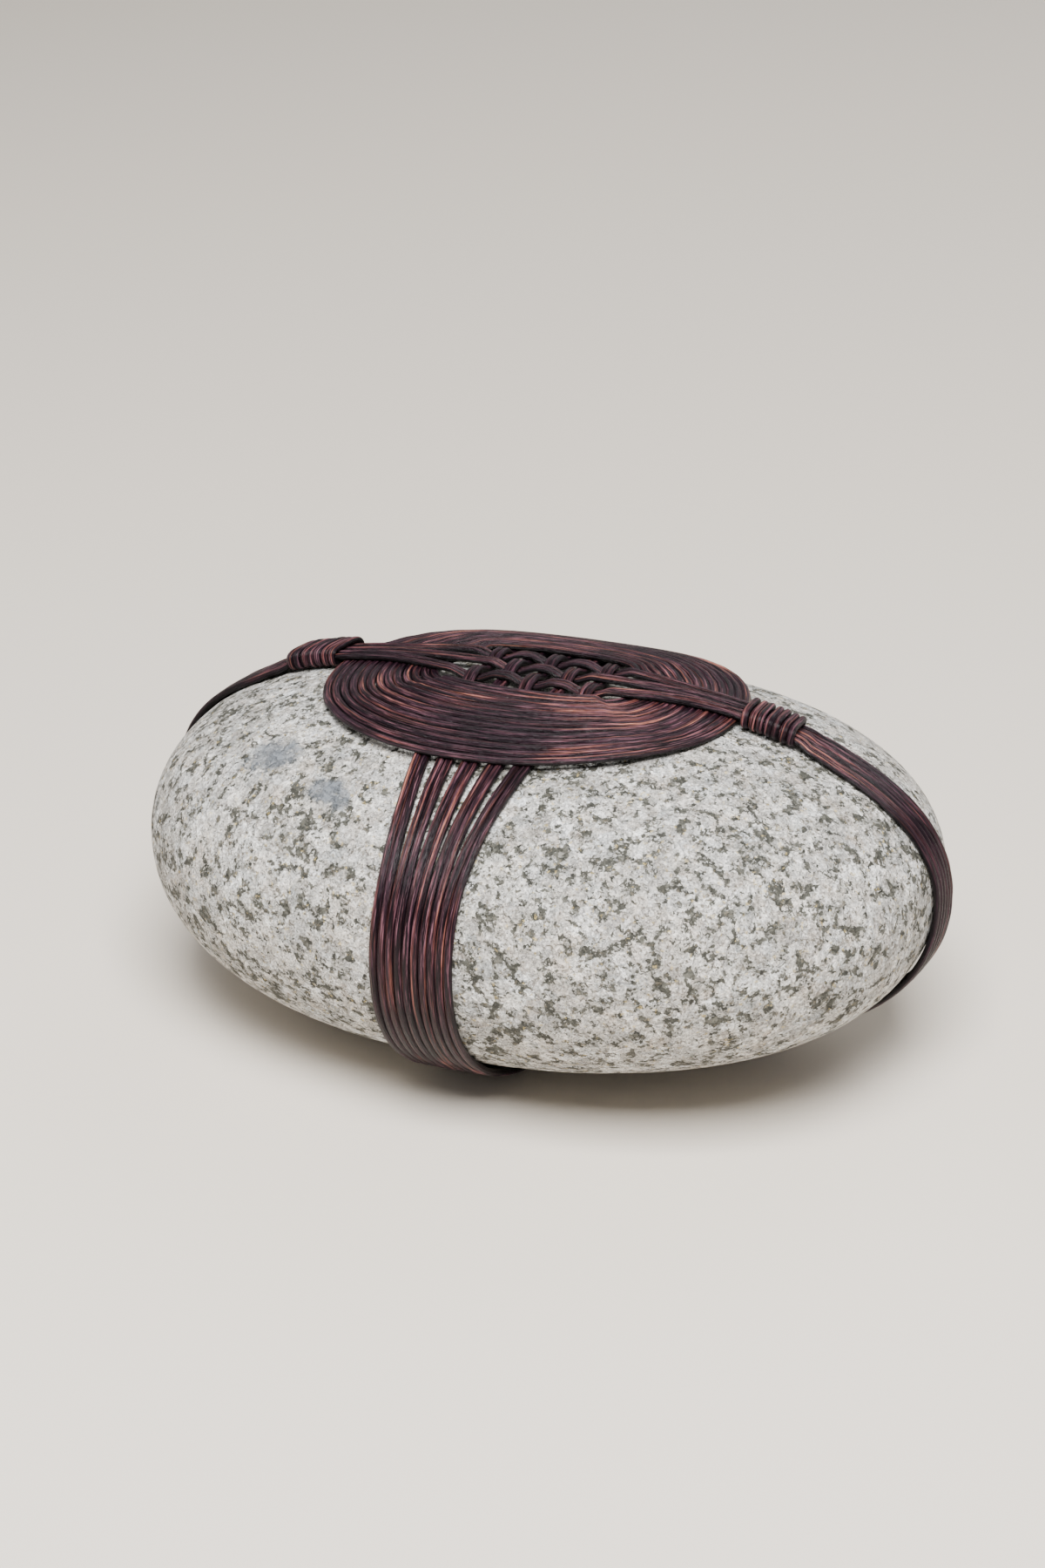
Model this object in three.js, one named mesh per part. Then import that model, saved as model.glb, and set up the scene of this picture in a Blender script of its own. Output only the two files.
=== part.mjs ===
import * as THREE from 'three';
import { mergeVertices } from 'three/addons/utils/BufferGeometryUtils.js';

// A granite river cobble bound with dyed round cane. Ten strands go round its girth and six go
// round its length. On the crown they weave through each other inside a flat oval ring of cane,
// and a whipping gathers the lengthwise strands on each side of the ring.
// Millimetres. X runs along the stone, its front faces -Y and +Z is up. The stone is measured
// from the level where it is widest, and the whole piece is set on the ground at the end.

// The stone
const HALF_LENGTH = 105;
const HALF_DEPTH = 74;
const CROWN = 44.3;
const BELLY = 48.8;
const LONG_ROUNDING = 2.32;
const GIRTH_ROUNDING = 2.13;
const DEPTH_TAPER = 0.032;
const HEIGHT_TAPER = -0.048;
const LEAN = 0.041;
const END_LIFT = 4.2;
const RIGHT_DROOP = 6.4;
const WORN_FLAT = 2.6;
const WORN_EDGE = 0.8;
const STONE_DETAIL = 8;

// The cane, and how high a strand's middle runs above the stone
const CANE = { width: 1.95, thickness: 1.6 };
const STRAND_PITCH = 2.25;
const LOW = 1.4;
const HIGH = 3.5;
const PRESSED_FLAT = 0.6;
const CAUGHT_UNDER = [28, 58];
const SECTION = [[0.5, -0.5], [0.3, 0.5], [-0.3, 0.5], [-0.5, -0.5]];

// The woven part of the knot: five girth pairs cross three lengthwise pairs
const GIRTH_PAIRS = 5;
const GIRTH_MIDDLE = -2.85;
const GIRTH_SLANT = -0.0215;
const GIRTH_PAIR_PITCH = 7.9;
const FAN_START = 5;
const FAN_POWER = 3.3;
const ROWS = [0, 7.75, 15.5];
const CROSSING_HALF = 1.9;

// The ring of the knot, from its inner strand to its outer one, in plan
const RING_STRANDS = 13;
const RING_STEPS = 24;
const RING_MIDDLE_X = -3.6;
const RING_SLANT = 0.03;
const RING_HALF_LENGTH = [27.7, 53.4];
const RING_FRONT = [-8.4, -38.1];
const RING_BACK = [23.2, 47.4];
const RING_ROUNDING = [2.6, 2.2];
const LOW_UNTIL = [0.7, 0.27];
const HIGH_FROM = [0.83, 0.96];
const UNDER_RING = 1.2;
const OVER_RING = 3.5;
const RIM_LIFT = 0.3;

// The lengthwise band and its two whippings
const LENGTHWISE_STRANDS = 6;
const BAND_MIDDLE = 8;
const BAND_PITCH = 2.2;
const BAND_SLANT = 1.3;
const END_BOW = 1.2;
const END_BOW_FROM = [22, -58];
const BAND_SWING = 6;
const BAND_SWING_FROM = [-0.15, 0.6];
const WHIPPINGS = {
  left: { inner: -58.4, outer: -72, middle: 7.8 },
  right: { inner: 51.8, outer: 65.8, middle: 8.4 },
};
const WHIPPING_TURNS = 7;
const WHIPPING_STEPS = 8;
const WRAP = { width: 1.7, thickness: 1.3 };
const WRAP_HEIGHTS = [1.05, 5.4];
const WRAP_HALF_WIDTH = 5.5;
const SQUEEZED_WIDTH = 1.15;
const SQUEEZED_PITCH = 1.4;
const SQUEEZED_HEIGHT = 3.1;
const PAST_RIM = 1;

// From the weave to a whipping: how far along, and how far the strands have closed up there
const GATHERING = [[0, 0.08], [0.3, 0.5], [0.6, 0.85]];
// From a whipping on: how far past it, and how far the strands have spread again
const SPREADING = [[2, 0.08], [6, 0.7], [14.5, 1]];

// Stations: how far round the flank in degrees, and how far down the stone's end
const CROWN_DEPTHS = { back: [45, 32], front: [-26, -40] };
const FLANK = [137, 150, 161, 171, 180, 189, 199, 210, 222, 236, 252, 270];
const BOTH_FLANKS = 540;
const END_START = 34;
const END = [27, 19, 11, 3, -5, -13, -21, -30, -40, -50, -58, -63, -69, -78];
const UNDERNEATH = -90;

const mix = (a, b, t) => a + (b - a) * t;
const ease = (a, b, x) => THREE.MathUtils.smoothstep(x, Math.min(a, b), Math.max(a, b));
const radians = THREE.MathUtils.degToRad;

// How far outside the stone a point is, about in millimetres, and below zero inside it
function outside(x, y, z) {
  const along = x / HALF_LENGTH;
  const middle = LEAN * x + END_LIFT * along ** 2 - RIGHT_DROOP * Math.max(along, 0) ** 3;
  const height = (z > middle ? CROWN : BELLY) * (1 + HEIGHT_TAPER * along);
  const depth = HALF_DEPTH * (1 + DEPTH_TAPER * along);
  const across = Math.abs(y / depth) ** GIRTH_ROUNDING;
  const upward = Math.abs((z - middle) / height) ** GIRTH_ROUNDING;
  const girth = (across + upward) ** (LONG_ROUNDING / GIRTH_ROUNDING);
  const cobble = ((Math.abs(along) ** LONG_ROUNDING + girth) ** (1 / LONG_ROUNDING) - 1) * CROWN;
  const flat = WORN_FLAT - BELLY - z;
  return (cobble + flat + Math.hypot(cobble - flat, WORN_EDGE)) / 2;
}

// The place on the stone that lies from one point towards a direction as long as the stone
function onStone(from, towards) {
  const halvings = 40;
  let inner = 0;
  let outer = 1.6;
  for (let i = 0; i < halvings; i += 1) {
    const half = (inner + outer) / 2;
    const p = from.clone().addScaledVector(towards, half);
    if (outside(p.x, p.y, p.z) > 0) outer = half;
    else inner = half;
  }
  return from.clone().addScaledVector(towards, inner);
}

function outwardOf(p) {
  const e = 0.05;
  return new THREE.Vector3(
    outside(p.x + e, p.y, p.z) - outside(p.x - e, p.y, p.z),
    outside(p.x, p.y + e, p.z) - outside(p.x, p.y - e, p.z),
    outside(p.x, p.y, p.z + e) - outside(p.x, p.y, p.z - e),
  ).normalize();
}

// One place along a strand: its middle, a height above the stone, and its section there
function station(surface, height, section = CANE) {
  const out = outwardOf(surface);
  return { centre: surface.clone().addScaledVector(out, height), out, section };
}

const onCrown = (x, y) => onStone(new THREE.Vector3(x, y, 0), new THREE.Vector3(0, 0, CROWN));

const restLevel = WORN_FLAT - BELLY - HIGH - CANE.thickness / 2 + PRESSED_FLAT;

// A strand is a section carried along its stations, closed on itself or with two cut ends
function strand(stations, closed = true) {
  const count = stations.length;
  const sides = SECTION.length;
  const positions = [];
  const indices = [];
  stations.forEach(({ centre, out, section }, i) => {
    const before = stations[closed ? (i + count - 1) % count : Math.max(i - 1, 0)].centre;
    const after = stations[closed ? (i + 1) % count : Math.min(i + 1, count - 1)].centre;
    const along = after.clone().sub(before).normalize();
    const across = out.clone().cross(along).normalize();
    const upward = along.clone().cross(across);
    SECTION.forEach(([side, rise], j) => {
      const p = centre.clone().addScaledVector(across, side * section.width);
      p.addScaledVector(upward, rise * section.thickness);
      positions.push(p.x, p.y, Math.max(p.z, restLevel));
      if (!closed && i === count - 1) return;
      const next = ((i + 1) % count) * sides;
      const [a, b] = [i * sides + j, i * sides + ((j + 1) % sides)];
      const [c, d] = [next + ((j + 1) % sides), next + j];
      indices.push(a, b, c, a, c, d);
    });
  });
  for (let j = 2; j < sides && !closed; j += 1) {
    const last = (count - 1) * sides;
    indices.push(0, j, j - 1, last, last + j - 1, last + j);
  }
  const geometry = new THREE.BufferGeometry();
  geometry.setAttribute('position', new THREE.Float32BufferAttribute(positions, 3));
  geometry.setIndex(indices);
  return geometry;
}

function stoneGeometry() {
  const ball = new THREE.IcosahedronGeometry(1, STONE_DETAIL);
  ball.deleteAttribute('normal');
  ball.deleteAttribute('uv');
  const geometry = mergeVertices(ball);
  const place = geometry.attributes.position;
  const centre = new THREE.Vector3();
  for (let i = 0; i < place.count; i += 1) {
    const towards = new THREE.Vector3().fromBufferAttribute(place, i);
    towards.multiply(new THREE.Vector3(HALF_LENGTH, HALF_DEPTH, CROWN));
    const p = onStone(centre, towards);
    place.setXYZ(i, p.x, p.y, p.z);
  }
  return geometry;
}

// A ring strand's outline in plan: 0 is the inner strand and 1 the outer one
function ringOutline(t) {
  const front = mix(...RING_FRONT, t);
  const back = mix(...RING_BACK, t);
  return {
    middle: (front + back) / 2,
    halfDepth: (back - front) / 2,
    halfLength: mix(...RING_HALF_LENGTH, t),
    power: mix(...RING_ROUNDING, t),
  };
}

// How far in plan a ring strand reaches from its middle, lengthwise at y or in depth at x
function ringReachX(t, y) {
  const { middle, halfDepth, halfLength, power } = ringOutline(t);
  return halfLength * (1 - Math.abs((y - middle) / halfDepth) ** power) ** (1 / power);
}

function ringReachY(t, x) {
  const { halfDepth, halfLength, power } = ringOutline(t);
  return halfDepth * (1 - Math.abs((x - RING_MIDDLE_X) / halfLength) ** power) ** (1 / power);
}

// The girth pairs lie closed together low on the stone and fan out towards the crown
function girthX(pair, side, y, z) {
  const open = THREE.MathUtils.clamp((z - FAN_START) / (CROWN - FAN_START), 0, 1) ** FAN_POWER;
  const pitch = mix(2 * STRAND_PITCH, GIRTH_PAIR_PITCH, open);
  const middle = GIRTH_MIDDLE + GIRTH_SLANT * y;
  return middle + (pair - (GIRTH_PAIRS - 1) / 2) * pitch + (side - 0.5) * STRAND_PITCH;
}

const girthOnTop = (pair, row) => (pair + row) % 2 === 0;

function girthGeometry(pair, side) {
  const stations = [];
  const crownPlace = (y, height) => {
    const z = onCrown(GIRTH_MIDDLE, y).z;
    stations.push(station(onCrown(girthX(pair, side, y, z), y), height));
  };
  const flankPlace = (degrees) => {
    const angle = radians(degrees);
    const towards = new THREE.Vector3(0, HALF_DEPTH * Math.cos(angle), CROWN * Math.sin(angle));
    const { y, z } = onStone(new THREE.Vector3(GIRTH_MIDDLE, 0, 0), towards);
    const from = new THREE.Vector3(girthX(pair, side, y, z), 0, 0);
    const height = z < 0 ? mix(HIGH, LOW, ease(...CAUGHT_UNDER, Math.abs(y))) : LOW;
    stations.push(station(onStone(from, towards), height));
  };
  const crownX = girthX(pair, side, 0, CROWN);
  const opening = ringReachY(0, crownX) - UNDER_RING;
  const openingMiddle = ringOutline(0).middle + RING_SLANT * (crownX - RING_MIDDLE_X);
  for (const y of CROWN_DEPTHS.back) crownPlace(y, LOW);
  crownPlace(openingMiddle + opening, LOW);
  for (const row of [2, 1, 0]) {
    const height = girthOnTop(pair, row) ? HIGH : LOW;
    crownPlace(ROWS[row] + CROSSING_HALF, height);
    crownPlace(ROWS[row] - CROSSING_HALF, height);
  }
  crownPlace(openingMiddle - opening, LOW);
  for (const y of CROWN_DEPTHS.front) crownPlace(y, LOW);
  for (const degrees of FLANK) flankPlace(degrees);
  for (const degrees of FLANK.slice(0, -1).reverse()) flankPlace(BOTH_FLANKS - degrees);
  return strand(stations);
}

// A ring strand hugs the stone at its ends and rises to bridge the girth pairs in front and behind
function ringGeometry(number) {
  const t = number / (RING_STRANDS - 1);
  const { middle, halfDepth, halfLength, power } = ringOutline(t);
  const rounded = (value) => Math.sign(value) * Math.abs(value) ** (2 / power);
  const rising = [mix(...LOW_UNTIL, t), mix(...HIGH_FROM, t)];
  const stations = [];
  for (let i = 0; i < RING_STEPS; i += 1) {
    const angle = (2 * Math.PI * (i + 0.5)) / RING_STEPS;
    const [along, deep] = [rounded(Math.cos(angle)), rounded(Math.sin(angle))];
    const x = RING_MIDDLE_X + halfLength * along;
    const y = middle + halfDepth * deep + RING_SLANT * halfLength * along;
    const risen = ease(...rising, Math.abs(deep));
    stations.push(station(onCrown(x, y), mix(LOW, HIGH + RIM_LIFT * t, risen)));
  }
  return strand(stations);
}

// The six lengthwise strands, from the front: two in each row of the weave
function bandGeometry(number) {
  const row = Math.floor(number / 2);
  const side = number % 2;
  const order = number - (LENGTHWISE_STRANDS - 1) / 2;
  const flatY = BAND_MIDDLE + order * BAND_PITCH;
  const wovenY = ROWS[row] + (side - 0.5) * STRAND_PITCH;
  const stations = [];
  const crownPlace = (x, y, height, squeeze = 0) => {
    const width = mix(CANE.width, SQUEEZED_WIDTH, Math.sqrt(squeeze));
    stations.push(station(onCrown(x, y), height, { ...CANE, width }));
  };
  const endPlace = (degrees) => {
    const angle = radians(degrees);
    const towards = new THREE.Vector3(
      HALF_LENGTH * Math.cos(angle), 0, CROWN * Math.sin(angle));
    const turn = THREE.MathUtils.inverseLerp(...END_BOW_FROM, degrees);
    const bowed = Math.sin(Math.PI * THREE.MathUtils.clamp(turn, 0, 1)) ** 2;
    const bow = END_BOW * bowed * number / (LENGTHWISE_STRANDS - 1);
    const swing = BAND_SWING * ease(...BAND_SWING_FROM, -Math.sin(angle));
    const y = flatY + BAND_SLANT * Math.cos(angle) - swing;
    stations.push(station(onStone(new THREE.Vector3(0, y, 0), towards), LOW + bow));
  };
  // From the weave over the ring, through the whipping and out along the stone
  const gather = ({ inner, outer, middle }, start) => {
    const away = Math.sign(outer);
    const squeezedY = middle + order * SQUEEZED_PITCH;
    const rim = RING_MIDDLE_X + away * (ringReachX(1, squeezedY) + PAST_RIM);
    return [
      ...GATHERING.map(([along, closed]) => (
        [mix(start, inner, along), mix(wovenY, squeezedY, closed), HIGH, closed])),
      [rim, squeezedY, HIGH, 1],
      [(inner + outer) / 2, squeezedY, SQUEEZED_HEIGHT, 1],
      ...SPREADING.map(([past, spread]) => (
        [outer + away * past, mix(squeezedY, flatY + away * BAND_SLANT, spread),
          mix(SQUEEZED_HEIGHT, LOW, spread), 1 - spread])),
    ];
  };
  const ringEnd = ringReachX(0, wovenY) - OVER_RING;
  for (const place of gather(WHIPPINGS.left, RING_MIDDLE_X - ringEnd).reverse()) crownPlace(...place);
  for (let pair = 0; pair < GIRTH_PAIRS; pair += 1) {
    const height = girthOnTop(pair, row) ? LOW : HIGH;
    const { z } = onCrown(GIRTH_MIDDLE, wovenY);
    const x = girthX(pair, 0.5, wovenY, z);
    crownPlace(x - CROSSING_HALF, wovenY, height);
    crownPlace(x + CROSSING_HALF, wovenY, height);
  }
  for (const place of gather(WHIPPINGS.right, RING_MIDDLE_X + ringEnd)) crownPlace(...place);
  for (const degrees of [END_START, ...END, UNDERNEATH]) endPlace(degrees);
  for (const degrees of [...END].reverse()) endPlace(2 * UNDERNEATH - degrees);
  return strand(stations);
}

// A whipping is one strand wound round the gathered band, under it as well as over it
function whippingGeometry({ inner, outer, middle }) {
  const stations = [];
  const middleHeight = (WRAP_HEIGHTS[0] + WRAP_HEIGHTS[1]) / 2;
  const halfHeight = (WRAP_HEIGHTS[1] - WRAP_HEIGHTS[0]) / 2;
  const squared = (value) => Math.cbrt(value);
  const count = WHIPPING_TURNS * WHIPPING_STEPS;
  for (let i = 0; i <= count; i += 1) {
    const angle = (2 * Math.PI * i) / WHIPPING_STEPS;
    const surface = onCrown(mix(inner, outer, i / count), middle);
    const up = outwardOf(surface);
    const across = up.clone().cross(new THREE.Vector3(1, 0, 0)).normalize();
    const [side, rise] = [squared(Math.cos(angle)), squared(Math.sin(angle))];
    const centre = surface.clone().addScaledVector(across, side * WRAP_HALF_WIDTH);
    centre.addScaledVector(up, middleHeight + rise * halfHeight);
    const out = across.multiplyScalar(side).addScaledVector(up, rise).normalize();
    stations.push({ centre, out, section: WRAP });
  }
  return strand(stations, false);
}

const granite = new THREE.MeshStandardMaterial({ color: 0xb7b5ac, roughness: 0.9, metalness: 0 });
const cane = new THREE.MeshStandardMaterial({ color: 0x4b2c31, roughness: 0.5, metalness: 0 });

const boundStone = new THREE.Group();

function addPiece(name, geometry, material) {
  const piece = new THREE.Mesh(geometry, material);
  piece.name = name;
  boundStone.add(piece);
}

addPiece('stone', stoneGeometry(), granite);
for (let pair = 0; pair < GIRTH_PAIRS; pair += 1) {
  for (const side of [0, 1]) {
    addPiece(`girth_strand_${2 * pair + side + 1}`, girthGeometry(pair, side), cane);
  }
}
for (let i = 0; i < LENGTHWISE_STRANDS; i += 1) {
  addPiece(`lengthwise_strand_${i + 1}`, bandGeometry(i), cane);
}
for (let i = 0; i < RING_STRANDS; i += 1) {
  addPiece(`ring_strand_${i + 1}`, ringGeometry(i), cane);
}
for (const side of ['left', 'right']) {
  addPiece(`whipping_${side}`, whippingGeometry(WHIPPINGS[side]), cane);
}

// The ground is under the girth strands, below the middle of the whole piece
const box = new THREE.Box3().setFromObject(boundStone);
const middle = box.getCenter(new THREE.Vector3());
boundStone.position.set(-middle.x, -middle.y, -box.min.z);

export default boundStone;
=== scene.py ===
# %% [markdown]
# # A river cobble bound with dyed cane
#
# The object is a granite cobble, rounded by a river, with a binding of round cane that was dyed
# dark aubergine. Ten strands go round its girth and six go round its length. On the crown they
# weave through each other inside a flat oval ring of thirteen strands, and a whipping gathers
# the lengthwise strands on each side of the ring.
#
# The lesson follows the maker: first the stone, then the strands in the order in which they
# touch it, then the two whippings, and last the finishes, the table and the light.

# %% The frame that everything is made in
import math

import bpy
import numpy as np
from mathutils import Matrix, Vector, noise


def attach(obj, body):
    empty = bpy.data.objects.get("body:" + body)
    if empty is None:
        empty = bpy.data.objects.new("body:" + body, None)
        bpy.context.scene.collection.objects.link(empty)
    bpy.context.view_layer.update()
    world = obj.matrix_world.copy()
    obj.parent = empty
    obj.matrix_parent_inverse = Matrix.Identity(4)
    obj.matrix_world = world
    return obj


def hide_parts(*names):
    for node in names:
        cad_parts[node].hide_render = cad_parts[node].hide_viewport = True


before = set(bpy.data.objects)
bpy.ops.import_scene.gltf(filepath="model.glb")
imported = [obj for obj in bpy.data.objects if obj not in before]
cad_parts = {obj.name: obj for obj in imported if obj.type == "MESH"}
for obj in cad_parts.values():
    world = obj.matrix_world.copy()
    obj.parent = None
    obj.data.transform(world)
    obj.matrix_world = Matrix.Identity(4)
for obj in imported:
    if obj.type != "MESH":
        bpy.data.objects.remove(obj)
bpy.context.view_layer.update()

MM = 0.001

# %% [markdown]
# ## The camera
#
# The photograph was taken from a little above and from the left of the stone's end, with a lens
# of a moderate reach. A camera is a place, a direction and a lens. Here the direction is two
# angles and a distance, which says more to a reader than a place would, and a small slide to the
# side and up puts the stone where the photograph has it.

# %% The camera
STONE_MIDDLE = Vector((-0.0381, 0.0017, 49.9))
VIEW_ELEVATION = math.radians(25.15)
VIEW_TURN = math.radians(24.32)
VIEW_DISTANCE = 956.8
VIEW_SLIDE = (-4.87, 16.38)
LENS, SENSOR = 85, 36


def add_camera():
    right = Vector((math.cos(VIEW_TURN), math.sin(VIEW_TURN), 0))
    level = math.cos(VIEW_ELEVATION)
    back = Vector((math.sin(VIEW_TURN) * level, -math.cos(VIEW_TURN) * level,
                   math.sin(VIEW_ELEVATION)))
    up = back.cross(right)
    data = bpy.data.cameras.new("camera")
    data.lens = LENS
    data.sensor_width = SENSOR
    camera = bpy.data.objects.new("camera", data)
    bpy.context.scene.collection.objects.link(camera)
    turn = Matrix((right, up, back)).transposed().to_4x4()
    place = STONE_MIDDLE + back * VIEW_DISTANCE + right * VIEW_SLIDE[0] + up * VIEW_SLIDE[1]
    camera.matrix_world = Matrix.Translation(place * MM) @ turn
    bpy.context.scene.camera = camera
    return camera


camera = add_camera()
print("the camera stands", round(camera.location.length, 3), "m away")

# %% [markdown]
# ## The cobble's form
#
# A river turns a block of granite into something close to an ellipsoid, a little fuller than a
# true one, with one end thicker than the other and the underside deeper than the crown. A single
# formula gives that form: two roundings say how square the outline is from above and from the
# end, two tapers make one end larger, and a lean and a droop bend the middle line. The strands
# need the same formula, because each one lies on the stone, so it is written once as the distance
# to the surface, and everything else asks it.

# %% The cobble's form
HALF_LENGTH, HALF_DEPTH = 105, 74
CROWN, BELLY = 44.3, 48.8
LONG_ROUNDING, GIRTH_ROUNDING = 2.32, 2.13
DEPTH_TAPER, HEIGHT_TAPER = 0.032, -0.048
LEAN, END_LIFT, RIGHT_DROOP = 0.041, 4.2, 6.4
WORN_FLAT, WORN_EDGE = 2.6, 0.8


def outside(points):
    """How far outside the stone each point is, in millimetres, and below zero inside it."""
    x, y, z = np.asarray(points, float).T
    along = x / HALF_LENGTH
    middle = LEAN * x + END_LIFT * along**2 - RIGHT_DROOP * np.maximum(along, 0) ** 3
    height = np.where(z > middle, CROWN, BELLY) * (1 + HEIGHT_TAPER * along)
    depth = HALF_DEPTH * (1 + DEPTH_TAPER * along)
    across = np.abs(y / depth) ** GIRTH_ROUNDING
    upward = np.abs((z - middle) / height) ** GIRTH_ROUNDING
    girth = (across + upward) ** (LONG_ROUNDING / GIRTH_ROUNDING)
    cobble = ((np.abs(along) ** LONG_ROUNDING + girth) ** (1 / LONG_ROUNDING) - 1) * CROWN
    flat = WORN_FLAT - BELLY - z
    return (cobble + flat + np.hypot(cobble - flat, WORN_EDGE)) / 2


def slope(points, e=0.05):
    """The direction in which the distance grows, which is straight out of the stone."""
    points = np.asarray(points, float)
    steps = np.eye(3) * e
    return np.stack([outside(points + s) - outside(points - s) for s in steps], -1) / (2 * e)


def outward(points):
    out = slope(points)
    return out / np.linalg.norm(out, axis=-1, keepdims=True)


def settle(points, rounds=5):
    """Moves points that are near the stone onto its surface."""
    points = np.array(points, float)
    for _ in range(rounds):
        steep = slope(points)
        gap = outside(points) / (steep**2).sum(-1)
        points -= steep * gap[:, None]
    return points


def on_stone(starts, towards):
    """Where a ray from inside the stone comes out of it."""
    starts, towards = np.broadcast_arrays(np.atleast_2d(starts), np.atleast_2d(towards))
    inner, outer = np.zeros(len(starts)), np.full(len(starts), 1.6)
    for _ in range(32):
        half = (inner + outer) / 2
        out = outside(starts + towards * half[:, None]) > 0
        outer = np.where(out, half, outer)
        inner = np.where(out, inner, half)
    return starts + towards * inner[:, None]


def on_crown(x, y):
    return on_stone([x, y, 0], [0, 0, CROWN])[0]


print("the crown is", round(on_crown(0, 0)[2], 1), "mm above the widest level")

# %% [markdown]
# ## The stone
#
# A ball is the usual start for a pebble, but a ball with poles has crowded faces there, and pits
# would look different at the ends. A cube that is divided evenly and blown up to a ball has even
# faces all over, so that is the start here. Its points are then moved out to the cobble's
# surface. After that the weathering is cut in, from large to small: broad hollows from the
# river, then the small pits where soft grains have fallen out.

# %% The stone's blank
CUTS = (7, 15)


def add_blank(name):
    bpy.ops.object.select_all(action="DESELECT")
    bpy.ops.mesh.primitive_cube_add(size=2)
    blank = bpy.context.object
    blank.name = name
    bpy.ops.object.mode_set(mode="EDIT")
    bpy.ops.mesh.select_all(action="SELECT")
    for cuts in CUTS:
        bpy.ops.mesh.subdivide(number_cuts=cuts)
    bpy.ops.object.mode_set(mode="OBJECT")
    return blank


def read_points(piece):
    points = np.empty(len(piece.data.vertices) * 3)
    piece.data.vertices.foreach_get("co", points)
    return points.reshape(-1, 3)


def write_points(piece, points):
    piece.data.vertices.foreach_set("co", np.ascontiguousarray(points, float).ravel())
    piece.data.update()


stone = add_blank("river_cobble")
cube = read_points(stone)
ball = np.tan(cube * math.pi / 4)
ball /= np.linalg.norm(ball, axis=1, keepdims=True)
smooth_stone = on_stone([0, 0, 0], ball * [HALF_LENGTH, HALF_DEPTH, CROWN])
print(stone.name, "has", len(cube), "points")

# %% Weathering
HOLLOWS = ((38, 0.5), (13, 0.16))
PIT_SIZE, PIT_DEPTH, PIT_SHARE = 4.2, 0.84, 0.3
PIT_STRETCH, PIT_SHIFT = (0.7, 1, 1.3), Vector((7.3, 1.1, 4.9))
CROWD_WIDTH, CROWD_LEAST, CROWD_SHIFT = 45, 0.4, Vector((3, 8, 1))


def weathered(points):
    """How far each point lies under the smooth surface, in millimetres."""
    worn = np.zeros(len(points))
    for i, p in enumerate(points):
        place = Vector(p)
        for width, depth in HOLLOWS:
            worn[i] += depth * (0.5 - 0.5 * noise.noise(place / width))
        stretched = Vector([value * stretch for value, stretch in zip(p, PIT_STRETCH)])
        pit = noise.noise(stretched / PIT_SIZE + PIT_SHIFT)
        crowd = 0.5 + 0.5 * noise.noise(place / CROWD_WIDTH + CROWD_SHIFT)
        worn[i] += PIT_DEPTH * max(0, pit - PIT_SHARE) * (CROWD_LEAST + crowd)
    return worn


worn = weathered(smooth_stone)
stone_points = smooth_stone - outward(smooth_stone) * worn[:, None]
write_points(stone, (stone_points + np.array(STONE_MIDDLE)) * MM)
stone.data.shade_smooth()
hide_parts("stone")
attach(stone, "root")
print("the weathering is up to", round(worn.max(), 2), "mm deep")

# %% [markdown]
# ## A strand of cane
#
# Round cane is split and drawn through a plate, so it is nearly round, about 2.3 mm thick, and
# never quite even: it swells and thins, wanders a little, and shows its long fibres. A curve with
# a round bevel gives a perfect tube, which looks like wire. Here the route is worked out first,
# as a few stations: a place on the stone, a height above it, and how wide and how thick the cane
# is there, because it is pressed flatter where it is pulled tight. A smooth line through the
# stations is settled back onto the stone and lifted to its height, so that the cane follows the
# stone and rises only where it crosses another strand. Then a fluted section is carried along
# the line. Each face also gets a pair of texture numbers, along the strand and round it, because
# the grain follows the cane and not the room.

# %% A route over the stone
STRAND_PITCH = 2.25
FLAT_HALF = (1.13, 0.87)
LOW, HIGH = 0.95, 2.7
STEP = 0.9


def ease(low, high, x):
    t = min(max((x - low) / (high - low), 0), 1)
    return t * t * (3 - 2 * t)


def mix(a, b, t):
    return a + (b - a) * t


def smooth_route(stations, closed=True):
    """A line through stations: a point on the stone, a height, and the section's half sizes."""
    knots = np.array([s[0] for s in stations], float)
    values = np.array([(s[1], *s[2]) for s in stations], float)
    if closed:
        knots = np.vstack([knots, knots[:1]])
        values = np.vstack([values, values[:1]])
    spans = np.linalg.norm(np.diff(knots, axis=0), axis=1)
    before = np.roll(knots[:-1], 1, 0) if closed else np.vstack([knots[:1], knots[:-2]])
    after = np.vstack([knots[2:], knots[1:2] if closed else knots[-1:]])
    starts, ends = knots[:-1], knots[1:]
    places, carried = [], []
    for i, span in enumerate(spans):
        back = max(np.linalg.norm(starts[i] - before[i]), 1e-6)
        on = max(np.linalg.norm(after[i] - ends[i]), 1e-6)
        leave = (ends[i] - before[i]) / (span + back) * span
        arrive = (after[i] - starts[i]) / (span + on) * span
        t = np.linspace(0, 1, max(2, round(span / STEP)), endpoint=False)[:, None]
        line = (2 * t**3 - 3 * t**2 + 1) * starts[i] + (t**3 - 2 * t**2 + t) * leave
        line = line + (3 * t**2 - 2 * t**3) * ends[i] + (t**3 - t**2) * arrive
        places.append(line)
        carried.append(mix(values[i], values[i + 1], t * t * (3 - 2 * t)))
    if not closed:
        places.append(knots[-1:])
        carried.append(values[-1:])
    surface = settle(np.vstack(places))
    out = outward(surface)
    carried = np.vstack(carried)
    return surface + out * carried[:, :1], out, carried[:, 1:]


trial = smooth_route([(on_crown(x, 0), LOW, FLAT_HALF) for x in (-20, 0, 20)], closed=False)
print("a trial route has", len(trial[0]), "points")

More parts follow.
